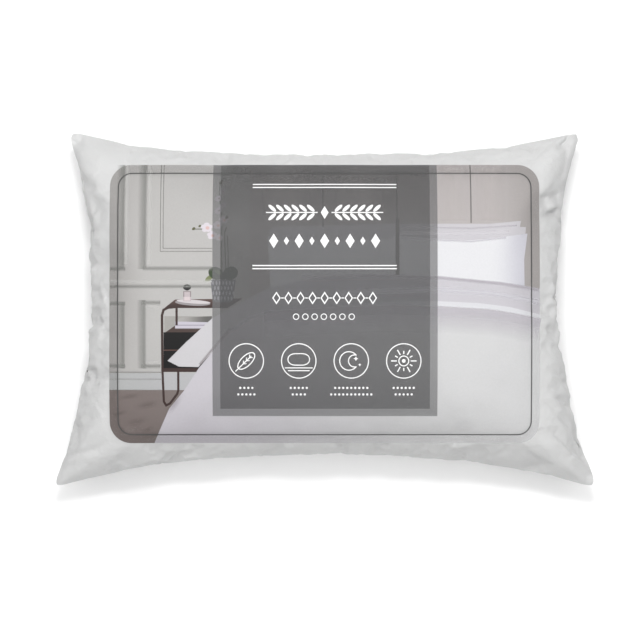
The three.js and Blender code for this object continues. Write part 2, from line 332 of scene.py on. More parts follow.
def puckers(u, v):
    """The short ripples that the stitching draws into the cloth beside the seams, about 1 high."""
    rng = np.random.default_rng(11)
    from_side, from_long = from_seams(u, v)
    ripple = np.zeros_like(u)
    for distance, walk, reach, depth in (
        (from_side, v * CLOTH[1] / 2, SIDE_PUCKER_REACH, SIDE_PUCKER),
        (from_long, u * CLOTH[0] / 2, LONG_PUCKER_REACH, LONG_PUCKER),
    ):
        wave = np.zeros_like(u)
        for length in PUCKER_LENGTHS:
            phase = rng.uniform(0, 2 * math.pi) + 2.5 * np.sin(walk / 0.06 + rng.uniform(0, 6))
            bend = 0.4 * np.sin(distance / 0.02 + rng.uniform(0, 6))
            wave += np.sin(2 * math.pi * walk / length + phase + bend) / 2
        fade = np.exp(-((distance / reach) ** 1.5))
        uneven = 0.6 + 0.4 * np.sin(walk / 0.045 + rng.uniform(0, 6))
        ripple += depth * wave * fade * uneven
    return ripple


def lumps(x, y, seed):
    """The shallow bumps of the fibre under the cloth."""
    rng = np.random.default_rng(seed)
    height = np.zeros_like(x)
    for length in LUMP_LENGTHS:
        for _ in range(5):
            way = rng.uniform(0, 2 * math.pi)
            along = (x * math.cos(way) + y * math.sin(way)) * 2 * math.pi / (length * MM)
            height += np.sin(along + rng.uniform(0, 6)) * length / 46 / 5.5
    return height * LUMP_DEPTH


# How far the gathers reach to both sides of the middle of each side seam.
GATHERED = 0.195

# Creases pressed into the front: the two ends in the plan in metres, the depth and the width.
CREASES = (
    ((0.235, 0.139), (0.312, 0.150), 2.2 * MM, 3.8 * MM),
    ((0.278, 0.118), (0.308, 0.130), 5.6 * MM, 4.2 * MM),
    ((0.286, 0.020), (0.318, 0.012), 2.4 * MM, 5.1 * MM),
    ((0.290, -0.100), (0.330, -0.132), 3.0 * MM, 5.1 * MM),
    ((0.306, -0.160), (0.345, -0.182), 3.2 * MM, 5.1 * MM),
    ((-0.270, -0.013), (-0.312, -0.020), 3.8 * MM, 5.1 * MM),
    ((-0.282, 0.064), (-0.306, 0.060), 4.1 * MM, 5.5 * MM),
    ((-0.278, 0.098), (-0.318, 0.108), 2.4 * MM, 5.1 * MM),
    ((-0.276, -0.078), (-0.322, -0.094), 2.2 * MM, 6.0 * MM),
    ((-0.262, 0.150), (-0.322, 0.168), 2.0 * MM, 6.0 * MM),
    ((0.288, -0.021), (0.308, -0.047), 2.2 * MM, 4.5 * MM),
    ((0.284, -0.060), (0.314, -0.093), 2.4 * MM, 4.5 * MM),
    ((0.294, -0.126), (0.337, -0.172), 2.4 * MM, 4.5 * MM),
    ((0.281, -0.146), (0.337, -0.192), 2.0 * MM, 6.0 * MM),
    ((-0.303, -0.133), (-0.330, -0.172), 2.2 * MM, 5.0 * MM),
    ((-0.300, -0.183), (-0.340, -0.193), 2.4 * MM, 4.5 * MM),
    ((-0.270, -0.165), (-0.335, -0.205), 1.8 * MM, 6.0 * MM),
)


def gathers():
    """Short creases that run inwards from the side seams, where the stitching gathers the cloth."""
    rng = np.random.default_rng(23)
    creases = []
    for side in (-1, 1):
        y = -GATHERED
        while y < GATHERED:
            y += rng.uniform(9, 21) * MM
            spread = y / GATHERED
            rim = side * (0.312 + 0.030 * spread**2)
            length = rng.uniform(16, 44) * MM
            start = (rim - side * length, y - length * spread * rng.uniform(0.1, 0.5))
            creases.append((start, (rim, y), rng.uniform(0.5, 1.8) * MM, rng.uniform(3.0, 4.4) * MM))
    return creases


def creased(x, y):
    """How far the creases sink the front, with the cloth pushed up along one side of each."""
    sink = np.zeros_like(x)
    for start, end, depth, width in (*CREASES, *gathers()):
        start, way = np.array(start), np.array(end) - np.array(start)
        length = np.linalg.norm(way)
        way /= length
        along = (x - start[0]) * way[0] + (y - start[1]) * way[1]
        aside = -(x - start[0]) * way[1] + (y - start[1]) * way[0]
        reach = np.clip(along / length, 0, 1)
        beyond = np.abs(along - reach * length)
        fade = np.exp(-((beyond / (1.5 * width)) ** 2)) * (0.35 + 0.65 * reach)
        groove = np.exp(-((aside / width) ** 2)) - 0.55 * np.exp(-(((aside - 1.9 * width) / width) ** 2))
        sink += depth * fade * groove
    return sink


def shoulder(u, v):
    """How far the thick filling lifts the front beside the side seams, which makes the box-like sides."""
    share = from_seams(u, v)[0] / SHOULDER_REACH
    return SHOULDER_RISE * share * np.exp(1 - share) * (1 - v**2)


def outwards(grid):
    """The unit normals of the front panel's grid of points, which point away from the filling."""
    normals = np.cross(np.gradient(grid, axis=1), np.gradient(grid, axis=0))
    normals /= np.maximum(np.linalg.norm(normals, axis=2, keepdims=True), 1e-9)
    return normals * np.sign(normals[..., 2].mean())


def roughen(front, back, u, v):
    """Adds the puckers, the lumps and the creases to the smooth filled panels, which keep one rim."""
    front[..., 2] += shoulder(u, v)
    ripple = puckers(u, v)
    from_rim = np.minimum(*from_seams(u, v))
    inner = np.clip(from_rim / LUMPS_FULL, 0, 1)
    rim = from_rim == 0
    bumps = inner * lumps(front[..., 0], front[..., 1], 5)
    front[..., 2] += np.where(rim, RIM_PUCKER_SHARE, 1) * ripple + bumps
    eased = np.clip(from_rim / CREASES_FULL, 0.4, 1)
    front -= (eased * creased(front[..., 0], front[..., 1]))[..., None] * outwards(front)
    rise = inner * lumps(back[..., 0], back[..., 1], 6) - BACK_PUCKER_SHARE * ripple
    above_floor = np.clip(back[..., 2] / FLOOR_CALM, 0, 1)
    back[..., 2] += rise * above_floor
    back[rim] = front[rim]
    room = np.minimum(0.4 * from_rim, ALLOWANCE_ROOM)
    lacking = np.maximum(room - (front[..., 2] - back[..., 2]) / 2, 0)
    front[..., 2] += lacking
    back[..., 2] -= lacking


def casing_shape():
    points, front, back, u, v = flat_bag()
    filled = inflate(points, front, back)
    fitted = fit_to_outline(filled, front, back, u, v)
    front, back = halve_cells(fitted[front]), halve_cells(fitted[back])
    u, v = halve_cells(u), halve_cells(v)
    roughen(front, back, u, v)
    return front, back, u, v


def at_level(front, back, u, v, inset, level, step=1):
    """The grid of points at a level between the back (0) and front (1) panels, in from the seams."""
    u_in = u[::step, ::step] * (1 - inset / (CLOTH[0] / 2))
    v_in = v[::step, ::step] * (1 - inset / (CLOTH[1] / 2))
    rows, columns = np.array(u.shape) - 1
    column = (u_in + 1) / 2 * columns
    row = (v_in + 1) / 2 * rows
    i = np.clip(column.astype(int), 0, columns - 1)
    j = np.clip(row.astype(int), 0, rows - 1)
    s = (column - i)[..., None]
    t = (row - j)[..., None]

    def sample(grid):
        near = grid[j, i] * (1 - s) + grid[j, i + 1] * s
        far = grid[j + 1, i] * (1 - s) + grid[j + 1, i + 1] * s
        return near * (1 - t) + far * t

    return sample(back) * (1 - level) + sample(front) * level


def rim_of(grid):
    """The grid's outermost points, counter-clockwise from its lowest u and v."""
    return np.concatenate([grid[0, :-1], grid[:-1, -1], grid[-1, :0:-1], grid[:0:-1, 0]])


def inwards(rim):
    """The level direction from each point of the rim to the inside of the bag."""
    way = np.roll(rim, -3, 0) - np.roll(rim, 3, 0)
    way = np.stack([-way[:, 1], way[:, 0], np.zeros(len(way))], axis=1)
    return way / np.linalg.norm(way, axis=1)[:, None]


def panel(name, grid, turned, look_up, u, v):
    """One panel of the casing as cloth, with its turned-in seam allowance and its weave along the cut."""
    index = np.arange(u.size).reshape(u.shape)
    rim_index = rim_of(index)
    turned = turned + np.array([0, 0, ALLOWANCE_GAP if look_up else -ALLOWANCE_GAP])
    turned_index = u.size + len(rim_index) + np.arange(len(rim_index))
    folded_index = u.size + np.arange(len(rim_index))
    strip = np.stack(
        [folded_index, turned_index, np.roll(turned_index, -1), np.roll(folded_index, -1)], axis=-1
    )
    strip = strip if look_up else strip[:, ::-1]
    faces = np.concatenate([quads(index, look_up), strip])
    piece = mesh_object(name, np.concatenate([grid.reshape(-1, 3), rim_of(grid), turned]), faces)
    flat = np.stack([u * CLOTH[0] / 2, v * CLOTH[1] / 2], axis=-1)
    outward = np.pad(rim_of(flat), ((0, 0), (0, 1)))
    outward = (outward - inwards(outward) * ALLOWANCE)[:, :2]
    flat = np.concatenate([flat.reshape(-1, 2), rim_of(flat), outward])
    layer = piece.data.uv_layers.new(name="cut")
    corners = np.empty(len(piece.data.loops), int)
    piece.data.loops.foreach_get("vertex_index", corners)
    layer.data.foreach_set("uv", flat[corners].ravel())
    return piece


# ---------------------------------------------------------------- the film's height


def beside(padded):
    """The four neighbours of each point of a field that is padded by one all round."""
    return np.stack([padded[1:-1, :-2], padded[1:-1, 2:], padded[:-2, 1:-1], padded[2:, 1:-1]])


def height_of(piece_grid):
    """A function that gives the height of a smooth film laid over a grid of points, at x and y."""
    index = np.arange(piece_grid.shape[0] * piece_grid.shape[1]).reshape(piece_grid.shape[:2])
    tree = BVHTree.FromPolygons(
        [Vector(p) for p in piece_grid.reshape(-1, 3)], [tuple(map(int, f)) for f in quads(index)]
    )
    cell = GROUND_CELL
    margin = GROUND_MARGIN
    low = FILM_CENTRE - FILM_HALF - margin * cell
    counts = np.ceil((2 * FILM_HALF + 2 * margin * cell) / cell).astype(int) + 1
    xs = low[0] + np.arange(counts[0]) * cell
    ys = low[1] + np.arange(counts[1]) * cell
    ground = np.full((counts[1], counts[0]), np.nan)
    for j, y in enumerate(ys):
        for i, x in enumerate(xs):
            hit = tree.ray_cast(Vector((x, y, 1.0)), Vector((0, 0, -1)))[0]
            if hit is not None:
                ground[j, i] = hit.z
    while np.isnan(ground).any():
        around = beside(np.pad(ground, 1, constant_values=np.nan))
        known = ~np.isnan(around)
        filled = np.where(known, around, 0).sum(0) / np.maximum(known.sum(0), 1) - 4 * MM
        ground = np.where(np.isnan(ground) & known.any(0), filled, ground)
    around = np.pad(ground, 1, mode="edge")
    rows, columns = ground.shape
    highest = np.max([around[j : j + rows, i : i + columns] for j in range(3) for i in range(3)], axis=0)
    ground = (ground + highest) / 2
    film = ground + FILM_GAP
    edge = np.ones_like(film, bool)
    edge[2:-2, 2:-2] = False
    for _ in range(SETTLING_ROUNDS):
        soft = beside(np.pad(film, 1, mode="edge")).sum(0) / 4
        film = np.maximum(np.where(edge, film, soft), ground + FILM_GAP)
    for _ in range(SOFTENING_ROUNDS):
        film = 0.5 * film + 0.5 * beside(np.pad(film, 1, mode="edge")).sum(0) / 4
    film += max(0, (ground + LEAST_GAP - film)[margin:-margin, margin:-margin].max())

    def bend(p0, p1, p2, p3, t):
        return p1 + 0.5 * t * (p2 - p0 + t * (2 * p0 - 5 * p1 + 4 * p2 - p3 + t * (3 * (p1 - p2) + p3 - p0)))

    def height(x, y):
        column = np.clip((np.asarray(x) - low[0]) / cell, 1, counts[0] - 3)
        row = np.clip((np.asarray(y) - low[1]) / cell, 1, counts[1] - 3)
        i = np.minimum(column.astype(int), counts[0] - 3)
        j = np.minimum(row.astype(int), counts[1] - 3)
        s, t = column - i, row - j
        rows = [bend(*(film[j + dj, i + di] for di in (-1, 0, 1, 2)), s) for dj in (-1, 0, 1, 2)]
        return bend(*rows, t)

    return height


# ---------------------------------------------------------------- flat shapes on the film, in millimetres


def rounded_box(half_x, half_y, radius, steps=10):
    """A rectangle with round corners about the middle, counter-clockwise."""
    outline = []
    for turn, (sx, sy) in enumerate(((1, -1), (1, 1), (-1, 1), (-1, -1))):
        for k in range(steps + 1):
            angle = (turn - 1 + k / steps) * math.pi / 2
            x = sx * (half_x - radius) + radius * math.cos(angle)
            outline.append((x, sy * (half_y - radius) + radius * math.sin(angle)))
    return outline


def box(x0, y0, x1, y1):
    return [(x0, y0), (x1, y0), (x1, y1), (x0, y1)]


def disc(cx, cy, radius, count=40):
    turn = 2 * math.pi / count
    return [(cx + radius * math.cos(k * turn), cy + radius * math.sin(k * turn)) for k in range(count)]


def stroke(points, width, closed=False):
    """The outline of a line of even width through the points. A closed one is two loops, outer and inner."""
    p = np.array(points, float)
    if closed:
        ahead, behind = np.roll(p, -1, 0), np.roll(p, 1, 0)
    else:
        ahead = np.vstack([p[1:], 2 * p[-1] - p[-2]])
        behind = np.vstack([2 * p[0] - p[1], p[:-1]])
    to_next = ahead - p
    to_next /= np.linalg.norm(to_next, axis=1)[:, None]
    from_last = p - behind
    from_last /= np.linalg.norm(from_last, axis=1)[:, None]
    tangent = to_next + from_last
    tangent /= np.linalg.norm(tangent, axis=1)[:, None]
    normal = np.stack([-tangent[:, 1], tangent[:, 0]], axis=1)
    mitre = np.clip((normal * np.stack([-to_next[:, 1], to_next[:, 0]], axis=1)).sum(1), 0.5, 1)
    offset = normal * (width / 2 / mitre)[:, None]
    return p + offset, p - offset


def refine(points, longest, closed):
    """More points along a line, so that no step is longer than the longest."""
    out = []
    count = len(points)
    for k in range(count if closed else count - 1):
        a, b = np.array(points[k], float), np.array(points[(k + 1) % count], float)
        steps = max(1, math.ceil(np.linalg.norm(b - a) / longest))
        out += [tuple(a + (b - a) * s / steps) for s in range(steps)]
    if not closed:
        out.append(tuple(points[-1]))
    return out


def inside(points, polygon):
    """Which points lie inside a polygon."""
    x, y = points[:, 0], points[:, 1]
    found = np.zeros(len(points), bool)
    for (x0, y0), (x1, y1) in zip(polygon, np.roll(polygon, -1, 0), strict=True):
        crosses = (y0 > y) != (y1 > y)
        with np.errstate(divide="ignore", invalid="ignore"):
            at = x0 + (y - y0) * (x1 - x0) / (y1 - y0)
        found ^= crosses & (x < at)
    return found


def flat_ink(red, green, blue, opacity=0.9):
    """Paint of one colour."""
    return graded((red, green, blue), (red, green, blue), (0, 0), (0, 1), opacity, opacity)


def graded(start, end, origin, target, opacity=0.9, end_opacity=None):
    """Paint that runs from one screen colour at the origin to another at the target, in millimetres."""
    colours = np.array([srgb(*start), srgb(*end)]) * INK_DENSITY
    colours[:, 3] = opacity, opacity if end_opacity is None else end_opacity
    origin = np.array(origin, float)
    way = np.array(target, float) - origin

    def paint(points):
        share = np.clip((points - origin) @ way / (way @ way), 0, 1)[:, None]
        share = share * share * (3 - 2 * share)
        return colours[0] * (1 - share) + colours[1] * share

    return paint


def unpainted(points):
    """Stands for the paint of a piece whose material has one ink."""
    return np.ones((len(points), 4))


class Inking:
    """Painted flat shapes gathered for one piece, which is then draped on the film."""

    def __init__(self, height, lift, step=SHAPE_STEP):
        self.height = height
        self.lift = lift
        self.step = step
        self.points = []
        self.rises = []
        self.faces = []
        self.colours = []

    def add(self, points, faces, colours):
        """Adds a shape a little above the last one, with a colour for each of its points."""
        start = len(self.points)
        rise = self.rises[-1] + self.step if self.rises else 0.0
        self.points += [tuple(p) for p in points]
        self.rises += [rise] * len(points)
        self.faces += [tuple(int(start + k) for k in f) for f in faces]
        self.colours += [[tuple(colours[k]) for k in f] for f in faces]

    def line(self, points, width, paint=unpainted, closed=False):
        fine = refine(points, 4.0, closed)
        left, right = stroke(fine, width, closed)
        flat = np.stack([left, right], axis=1).reshape(-1, 2)
        count = len(fine)
        last = count if closed else count - 1
        faces = [(2 * k, 2 * k + 1, 2 * ((k + 1) % count) + 1, 2 * ((k + 1) % count)) for k in range(last)]
        self.add(flat, faces, paint(flat))

    def soft_line(self, points, width, paint, lean=0.5, fading=False):
        """A line whose ink fades out to both sides, and with fading to both ends too.

        Its darkest part lies at the share lean of its width, from its left.
        """
        fine = refine(points, 6.0, False)
        left, right = stroke(fine, width, False)
        shares = [0, lean * 0.5, lean, 1 - (1 - lean) * 0.5, 1]
        flat = np.stack([left * (1 - s) + right * s for s in shares], axis=1).reshape(-1, 2)
        colours = paint(flat)
        colours[:, 3] *= np.tile([0, 0.5, 1, 0.5, 0], len(fine))
        if fading:
            along = np.repeat(np.linspace(0, 1, len(fine)), len(shares))
            colours[:, 3] *= np.sin(math.pi * along) ** 2
        wide = len(shares)
        faces = []
        for k in range(len(fine) - 1):
            for j in range(wide - 1):
                a = k * wide + j
                faces.append((a, a + 1, a + wide + 1, a + wide))
        self.add(flat, faces, colours)

    def ring(self, outer, inner, paint):
        """Fills between two outlines that have the same number of points."""
        outer, inner = np.array(outer), np.array(inner)
        pairs = []
        for k in range(len(outer)):
            m = (k + 1) % len(outer)
            steps = max(1, math.ceil(np.linalg.norm(outer[m] - outer[k]) / 5))
            for share in np.arange(steps) / steps:
                pairs.append([side[k] + (side[m] - side[k]) * share for side in (outer, inner)])
        flat = np.array(pairs).reshape(-1, 2)
        count = len(pairs)
        faces = [(2 * k, 2 * ((k + 1) % count), 2 * ((k + 1) % count) + 1, 2 * k + 1) for k in range(count)]
        self.add(flat, faces, paint(flat))

    def picture(self, outline, zones, cell):
        """Cuts the outline's inside along every zone's edge. A later zone lies over an earlier one."""
        loops = [refine(outline, cell, True)] + [refine(zone, cell, True) for zone, _ in zones]
        coordinates, edges = [], []
        for loop in loops:
            start = len(coordinates)
            coordinates += [Vector(p) for p in loop]
            edges += [(start + k, start + (k + 1) % len(loop)) for k in range(len(loop))]
        low, high = np.min(outline, 0), np.max(outline, 0)
        xs = np.arange(low[0] + cell / 2, high[0], cell)
        ys = np.arange(low[1] + cell / 2, high[1], cell)
        grid = np.array([(x, y) for y in ys for x in xs]).reshape(-1, 2)
        within = inside(grid, np.array(outline))
        coordinates += [Vector(p) for p in grid[within]]
        cut = delaunay_2d_cdt(coordinates, edges, [], 0, 1e-3)
        flat = np.array([tuple(p) for p in cut[0]])
        triangles = np.array([f for f in cut[2] if len(f) == 3])
        sides = flat[triangles[:, 1:]] - flat[triangles[:, :1]]
        area = np.abs(np.cross(sides[:, 0], sides[:, 1]))
        triangles = triangles[area > 1e-6]
        middles = flat[triangles].mean(axis=1)
        triangles = triangles[inside(middles, np.array(outline))]
        middles = flat[triangles].mean(axis=1)
        chosen = np.full(len(triangles), -1)
        for number, (zone, _) in enumerate(zones):
            chosen[inside(middles, np.array(zone))] = number
        triangles, chosen = triangles[chosen >= 0], chosen[chosen >= 0]
        start = len(self.points)
        self.points += [tuple(p) for p in flat]
        self.rises += [0.0] * len(flat)
        for number, (_, paint) in enumerate(zones):
            mine = triangles[chosen == number]
            if len(mine):
                colours = paint(flat[mine.ravel()]).reshape(-1, 3, 4)
                self.faces += [tuple(int(start + k) for k in f) for f in mine]
                self.colours += [[tuple(c) for c in face] for face in colours]

    def fill(self, outline, paint=unpainted, cell=6.0):
        side = Inking(self.height, self.lift)
        side.picture(outline, [(outline, paint)], cell)
        faces = [tuple(range(3 * k, 3 * k + 3)) for k in range(len(side.faces))]
        points = [side.points[k] for face in side.faces for k in face]
        self.add(points, faces, [colour for face in side.colours for colour in face])

    def piece(self, name, material):
        used = sorted({k for f in self.faces for k in f})
        renumber = {old: new for new, old in enumerate(used)}
        flat = np.array(self.points)[used] * MM + FILM_CENTRE
        z = self.height(flat[:, 0], flat[:, 1]) + self.lift + np.array(self.rises)[used]
        faces = [tuple(renumber[k] for k in f) for f in self.faces]
        made = mesh_object(name, np.column_stack([flat, z]), faces)
        if len(made.data.polygons) != len(faces):
            raise ValueError(f"{name}: a face was dropped")
        look_up = np.empty(len(faces) * 3)
        made.data.polygons.foreach_get("normal", look_up)
        layer = made.data.color_attributes.new("ink", "FLOAT_COLOR", "CORNER")
        layer.data.foreach_set("color", np.array([c for face in self.colours for c in face]).ravel())
        if (look_up[2::3] < 0).any():
            turn_up(made)
        made.visible_shadow = False
        return dress(made, "film", "printed_film", material)


def turn_up(piece):
    """Turns every face of a draped piece so that it looks up."""
    shape = bmesh.new()
    shape.from_mesh(piece.data)
    down = [face for face in shape.faces if face.normal.z < 0]
    bmesh.ops.reverse_faces(shape, faces=down)
    shape.to_mesh(piece.data)
    shape.free()


# ---------------------------------------------------------------- materials


def srgb(red, green, blue):
    """The linear colour of a screen colour from 0 to 255."""
    out = []
    for value in (red, green, blue):
        c = value / 255
        out.append(c / 12.92 if c <= 0.04045 else ((c + 0.055) / 1.055) ** 2.4)
    return (*out, 1.0)


def new_material(name):
    material = bpy.data.materials.new(name)
    material.use_nodes = True
    tree = material.node_tree
    return material, tree, tree.nodes["Principled BSDF"]


def node(tree, kind, **values):
    made = tree.nodes.new(kind)
    for key, value in values.items():
        if key in made.inputs:
            made.inputs[key].default_value = value
        else:
            setattr(made, key.lower(), value)
    return made


def weave_height(tree, thread):
    """The height of a plain weave laid out along the cut of the cloth, with threads of that pitch."""
    cut = tree.nodes.new("ShaderNodeUVMap")
    cut.uv_map = "cut"
    scale = 2 * math.pi / (20 * thread)
    warp = node(tree, "ShaderNodeTexWave", Scale=scale, Distortion=0.4)
    weft = node(tree, "ShaderNodeTexWave", Scale=scale, Distortion=0.4)
    warp.bands_direction = "X"
    weft.bands_direction = "Y"
    both = node(tree, "ShaderNodeMath", Operation="ADD")
    for wave, socket in ((warp, 0), (weft, 1)):
        tree.links.new(cut.outputs["UV"], wave.inputs["Vector"])
        tree.links.new(wave.outputs["Fac"], both.inputs[socket])
    return cut, both.outputs[0]


def bump_chain(tree, shader, heights):
    """Stacks bumps, given as (height socket, strength, distance), on the shader's normal."""
    last = None
    for height, strength, distance in heights:
        bump = node(tree, "ShaderNodeBump", Strength=strength, Distance=distance)
        tree.links.new(height, bump.inputs["Height"])
        if last is not None:
            tree.links.new(last.outputs["Normal"], bump.inputs["Normal"])
        last = bump
    tree.links.new(last.outputs["Normal"], shader.inputs["Normal"])


def noise(tree, **values):
    """A noise texture laid out in the piece's own space."""
    place = tree.nodes.new("ShaderNodeTexCoord")
    texture = node(tree, "ShaderNodeTexNoise", **values)
    tree.links.new(place.outputs["Object"], texture.inputs["Vector"])
    return texture.outputs["Fac"]


def tune(target, **values):
    """Sets unlinked sockets by their names, with _ for a space."""
    for name, value in values.items():
        target.inputs[name.replace("_", " ")].default_value = value


def shade_by(tree, shader, factor, dark, light):
    """Varies a piece's grey between a dark and a light colour by the factor."""
    ramp = tree.nodes.new("ShaderNodeValToRGB")
    ramp.color_ramp.elements[0].color = (*dark, 1)
    ramp.color_ramp.elements[1].color = (*light, 1)
    tree.links.new(factor, ramp.inputs["Fac"])
    tree.links.new(ramp.outputs["Color"], shader.inputs["Base Color"])


def casing_cloth():
    """White polycotton: a fine plain weave, faint creases and slightly uneven whiteness."""
    material, tree, shader = new_material("casing_cloth")
    cut, weave = weave_height(tree, 0.45 * MM)
    cloudy = noise(tree, Scale=9.0, Detail=5.0, Roughness=0.6)
    creases = noise(tree, Scale=64.0, Detail=6.0, Roughness=0.62, Distortion=0.8)
    slubs = node(tree, "ShaderNodeTexNoise", Scale=900.0, Detail=2.0, Roughness=0.5)
    tree.links.new(cut.outputs["UV"], slubs.inputs["Vector"])
    shade_by(tree, shader, cloudy, (0.545, 0.547, 0.547), (0.604, 0.604, 0.601))
    tune(shader, Roughness=0.88, Specular_IOR_Level=0.25, Sheen_Weight=0.12, Sheen_Roughness=0.5)
    fine = 0.08 * MM
    reliefs = [(creases, 0.6, 2.6 * MM), (weave, 0.18, fine), (slubs.outputs["Fac"], 0.15, fine)]
    bump_chain(tree, shader, reliefs)
    return material


def fibre_wadding():
    material, tree, shader = new_material("fibre_wadding")
    strands = noise(tree, Scale=260.0, Detail=8.0, Roughness=0.75, Distortion=3.0)
    shade_by(tree, shader, strands, (0.72, 0.72, 0.7), (0.93, 0.93, 0.92))
    tune(shader, Roughness=1.0, Sheen_Weight=0.4)
    bump_chain(tree, shader, [(strands, 0.8, 1.5 * MM)])
    return material


def twisted_thread(name):
    material, tree, shader = new_material(name)
    ply = noise(tree, Scale=1400.0, Detail=2.0)
    shade_by(tree, shader, ply, (0.66, 0.66, 0.65), (0.8, 0.8, 0.79))
    tune(shader, Roughness=0.6)
    bump_chain(tree, shader, [(ply, 0.4, 0.1 * MM)])
    return material


def label_satin():
    material, tree, shader = new_material("label_satin")
    place = tree.nodes.new("ShaderNodeTexCoord")
    ribs = node(tree, "ShaderNodeTexWave", Scale=2 * math.pi / (20 * 0.5 * MM), Distortion=0.3)
    ribs.bands_direction = "Z"
    tree.links.new(place.outputs["Object"], ribs.inputs["Vector"])
    shade_by(tree, shader, noise(tree, Scale=120.0, Detail=3.0), (0.78, 0.78, 0.77), (0.86, 0.86, 0.85))
    tune(shader, Roughness=0.42, Sheen_Weight=0.2)
    bump_chain(tree, shader, [(ribs.outputs["Fac"], 0.25, 0.06 * MM)])
    return material


def ink_grain(tree, shader):
    """The faint unevenness of ink and of clear film that has been handled."""
    grain = noise(tree, Scale=420.0, Detail=4.0, Roughness=0.6)
    ripple = noise(tree, Scale=14.0, Detail=3.0, Roughness=0.5)
    bump_chain(tree, shader, [(ripple, 0.25, 2 * MM), (grain, 0.1, 0.05 * MM)])
    tune(shader, Roughness=0.5, Specular_IOR_Level=0.12)
    return grain


def printed_ink():
    """The picture's inks, whose colours and opacities are on the mesh's corners."""
    material, tree, shader = new_material("printed_ink")
    colour = node(tree, "ShaderNodeVertexColor")
    colour.layer_name = "ink"
    vary = node(tree, "ShaderNodeMapRange")
    tune(vary, From_Min=0.3, From_Max=0.7, To_Min=0.975, To_Max=1.025)
    tree.links.new(ink_grain(tree, shader), vary.inputs["Value"])
    tint = node(tree, "ShaderNodeVectorMath", Operation="SCALE")
    tree.links.new(colour.outputs["Color"], tint.inputs[0])
    tree.links.new(vary.outputs["Result"], tint.inputs["Scale"])
    tree.links.new(tint.outputs["Vector"], shader.inputs["Base Color"])
    tree.links.new(colour.outputs["Alpha"], shader.inputs["Alpha"])
    return material


def plain_ink(name, level):
    """One solid ink, for lines."""
    material, tree, shader = new_material(name)
    ink_grain(tree, shader)
    shader.inputs["Base Color"].default_value = srgb(level, level, level)
    return material


# ---------------------------------------------------------------- the pieces


def make_casing(front, back, u, v):
    cloth = casing_cloth()
    turned = rim_of(at_level(front, back, u, v, ALLOWANCE, 0.5))
    for name, grid, look_up in (("front_panel", front, True), ("back_panel", back, False)):
        piece = panel(name + "_cloth", grid, turned, look_up, u, v)
        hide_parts(name)
        dress(piece, "pillow", "casing_fabric", cloth)


BATTS = {
    "lower_fibre_batt": (0.11, 0.33),
    "middle_fibre_batt": (0.34, 0.66),
    "upper_fibre_batt": (0.68, 0.94),
}
BATT_INSET = 44 * MM


def make_batts(front, back, u, v):
    """The folded web of fibre, as three plies with soft, lumpy faces."""
    wadding = fibre_wadding()
    for seed, (name, (low, high)) in enumerate(BATTS.items()):
        rng = np.random.default_rng(20 + seed)
        top = at_level(front, back, u, v, BATT_INSET, high, step=2)
        bottom = at_level(front, back, u, v, BATT_INSET, low, step=2)
        lumps = np.zeros(top.shape[:2])
        for _ in range(14):
            wave = rng.uniform(-90, 90, 2)
            lumps += np.sin(top[..., :2] @ wave + rng.uniform(0, 6)) / 14
        thickness = top[..., 2] - bottom[..., 2]
        top[..., 2] -= thickness * 0.05 * (1 + lumps)
        bottom[..., 2] += thickness * 0.05 * (1 - lumps)
        rows, columns = top.shape[:2]
        above = np.arange(rows * columns).reshape(rows, columns)
        below = above + rows * columns
        loop_up, loop_down = (
            np.concatenate([g[0, :-1], g[:-1, -1], g[-1, :0:-1], g[:0:-1, 0]]) for g in (above, below)
        )
        sides = np.stack([loop_up, loop_down, np.roll(loop_down, -1), np.roll(loop_up, -1)], axis=-1)
        faces = np.concatenate([quads(above), quads(below, False), sides])
        points = np.concatenate([top.reshape(-1, 3), bottom.reshape(-1, 3)])
        piece = mesh_object(name + "_wadding", points, faces)
        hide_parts(name)
        dress(piece, "pillow", "hollow_fibre", wadding)


# ---------------------------------------------------------------- the film's picture, in millimetres

FILM_X, FILM_Y = FILM_HALF / MM
CORNER = FILM_CORNER / MM
KEYLINE = (269.3, 170.6, 18)
DUVET_TOP = [(-146, -19), (-97, 8), (-71, 21), (-19, 32), (60, 38), (146, 36), (230, 28), (281, 20)]
FOLD_LINE = [(-146, -60), (-123, -34), (-97, -15), (-78, -10), (8, -4), (90, -1), (146, -3), (213, -7)]
FOLD_LINE += [(250, -13), (281, -20)]
DUVET_EDGE = [(-163, -83), (-182, -112), (-202, -136), (-215, -165), (-223, -183)]
BROWN = (60, 43, 40)


def ellipse(cx, cy, rx, ry, tilt=0.0, count=28):
    """The outline of an ellipse that is turned by the tilt in degrees."""
    c, s = math.cos(math.radians(tilt)), math.sin(math.radians(tilt))
    outline = []
    for k in range(count):
        a = 2 * math.pi * k / count
        x, y = rx * math.cos(a), ry * math.sin(a)
        outline.append((cx + x * c - y * s, cy + x * s + y * c))
    return outline


def tube(points, width):
    """The closed outline of a line of even width."""
    left, right = stroke(refine(points, 5.0, False), width)
    return [tuple(p) for p in left] + [tuple(p) for p in right[::-1]]


def room_zones():
    """The printed room behind the bed: wall, skirting, carpet and headboard."""
    wall = graded((183, 180, 178), (192, 190, 188), (-285, 0), (-215, 0))
    skirting = graded((186, 187, 187), (188, 188, 190), (-280, 0), (-190, 0))
    carpet = graded((122, 111, 108), (126, 115, 112), (-275, -182), (-225, -125), 0.93)
    headboard = graded((173, 168, 166), (187, 181, 180), (281, 0), (200, 0), 0.92)
    return [
        (rounded_box(FILM_X, FILM_Y, CORNER), wall),
        (box(-281, -112, -150, -90), skirting),
        (box(-281, -183, -150, -112), carpet),
        (box(-97, 0, 281, 183), headboard),
    ]


